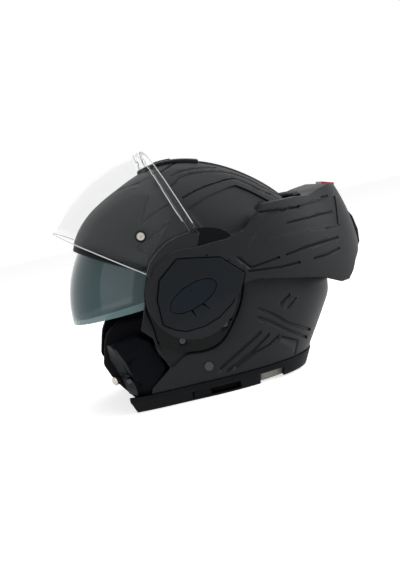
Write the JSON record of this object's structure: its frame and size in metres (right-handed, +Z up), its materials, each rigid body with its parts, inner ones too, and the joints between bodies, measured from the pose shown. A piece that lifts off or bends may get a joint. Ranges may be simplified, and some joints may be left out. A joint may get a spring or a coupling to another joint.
{
  "type": "modular motorcycle helmet",
  "caption": "Modular motorcycle helmet with a chin bar that swings over the crown to the back, a clear visor, a drop-down sun visor, vents and a padded lining.",
  "frame": {"origin": "centre of the bounding box, on the surface the helmet stands on", "axes": "+X is the wearer's left, +Y is the back of the helmet, +Z is up; the front of the helmet faces -Y"},
  "size_m": [0.2602, 0.3238, 0.2623],
  "materials": {
    "arm_plastic": "polished black moulding",
    "clear_visor": "clear polycarbonate, hard coated",
    "dark_metal": "zinc, satin",
    "edge_rubber": "satin",
    "gloss_black": "polished black moulding",
    "liner_fabric": "knitted mesh over soft foam",
    "liner_foam": "expanded bead foam, matt",
    "neck_fabric": "grey artificial leather",
    "pod_plastic": "satin black moulding",
    "red_button": "red moulded button",
    "shell_paint": "matt black lacquer on a moulded thermoplastic shell",
    "smoke_visor": "smoke tinted polycarbonate",
    "steel": "bright plated steel",
    "trim_plastic": "textured black moulding",
    "webbing": "woven strap"
  },
  "bodies": {
    "helmet": {"base_plate_left": "pod_plastic", "base_plate_right": "pod_plastic", "base_plate_screws": "dark_metal", "brow_gasket": "edge_rubber", "buckle_body": "trim_plastic", "buckle_tongue": "trim_plastic", "cheek_foam_left": "liner_foam", "cheek_foam_right": "liner_foam", "cheek_front_left": "gloss_black", "cheek_front_right": "gloss_black", "cheek_pad_left": "liner_fabric", "cheek_pad_right": "liner_fabric", "comfort_liner": "liner_fabric", "crown_foam": "liner_foam", "latch_pin_left": "dark_metal", "latch_pin_right": "dark_metal", "latch_stud_left": "steel", "latch_stud_right": "steel", "neck_roll": "neck_fabric", "outer_shell": "shell_paint", "pivot_axle_left": "dark_metal", "pivot_axle_right": "dark_metal", "pivot_cap_left": "dark_metal", "pivot_cap_right": "dark_metal", "rim_cover_left": "trim_plastic", "rim_cover_right": "trim_plastic", "rim_trim": "edge_rubber", "strap_anchor_left": "dark_metal", "strap_anchor_right": "dark_metal", "strap_left": "webbing", "strap_right": "webbing", "sun_visor_pivot_left": "dark_metal", "sun_visor_pivot_right": "dark_metal", "top_vent": "trim_plastic"},
    "visor": {"visor": "clear_visor", "visor_insert": "clear_visor", "insert_pin_left": "steel", "insert_pin_right": "steel", "visor_arm_left": "arm_plastic", "visor_arm_right": "arm_plastic"},
    "sun_visor": {"sun_visor": "smoke_visor"},
    "sun_visor_slider": {"sun_visor_slider": "trim_plastic"},
    "chin_bar": {"chin_bar": "shell_paint", "chin_cover": "trim_plastic", "chin_foam": "liner_foam", "chin_vent": "trim_plastic", "pod_cover_left": "pod_plastic", "pod_cover_right": "pod_plastic", "oval_inset_left": "pod_plastic", "oval_inset_right": "pod_plastic", "chin_curtain": "webbing", "hook_pin_left": "steel", "hook_pin_right": "steel"},
    "release_button": {"release_button": "red_button"},
    "latch_hook_left": {"latch_hook_left": "dark_metal"},
    "latch_hook_right": {"latch_hook_right": "dark_metal"},
    "chin_vent_shutter": {"chin_vent_shutter": "trim_plastic"},
    "top_vent_slider": {"top_vent_slider": "gloss_black"}
  },
  "joints": [
    {"name": "chin_bar_hinge", "type": "hinge", "parent": "helmet", "child": "chin_bar", "pos_m": [0, -0.0383, 0.111], "axis": [1, 0, 0], "range_deg": [0, 188]},
    {"name": "visor_hinge", "type": "hinge", "parent": "helmet", "child": "visor", "pos_m": [0, -0.0383, 0.111], "axis": [1, 0, 0], "range_deg": [0, 38]},
    {"name": "sun_visor_hinge", "type": "hinge", "parent": "helmet", "child": "sun_visor", "pos_m": [0, -0.03665, 0.10036], "axis": [1, 0, 0], "range_deg": [-42, 0]},
    {"name": "sun_visor_slide", "type": "slide", "parent": "helmet", "child": "sun_visor_slider", "axis": [0, 1, 0], "range_m": [0, 0.03]},
    {"name": "release_button_press", "type": "slide", "parent": "chin_bar", "child": "release_button", "axis": [0, -0.225, -0.9744], "range_m": [0, 0.0035], "stiffness_N_per_m": 1500, "springref_m": -0.0006},
    {"name": "latch_hook_left_hinge", "type": "hinge", "parent": "chin_bar", "child": "latch_hook_left", "pos_m": [0, 0.07056, 0.15388], "axis": [1, 0, 0], "range_deg": [-11, 0], "stiffness_Nm_per_rad": 0.05, "springref_deg": 5.73},
    {"name": "latch_hook_right_hinge", "type": "hinge", "parent": "chin_bar", "child": "latch_hook_right", "pos_m": [0, 0.07056, 0.15388], "axis": [1, 0, 0], "range_deg": [-11, 0], "stiffness_Nm_per_rad": 0.05, "springref_deg": 5.73},
    {"name": "chin_vent_slide", "type": "slide", "parent": "chin_bar", "child": "chin_vent_shutter", "axis": [0, 0.225, 0.9744], "range_m": [0, 0.0035]},
    {"name": "top_vent_slide", "type": "slide", "parent": "helmet", "child": "top_vent_slider", "axis": [0, 0.9994, -0.0349], "range_m": [0, 0.006]}
  ],
  "couplings": [
    {"joint": "sun_visor_slide", "follows": "sun_visor_hinge", "m_per_rad": -0.0405},
    {"joint": "latch_hook_left_hinge", "follows": "release_button_press", "rad_per_m": -48},
    {"joint": "latch_hook_right_hinge", "follows": "release_button_press", "rad_per_m": -48}
  ]
}
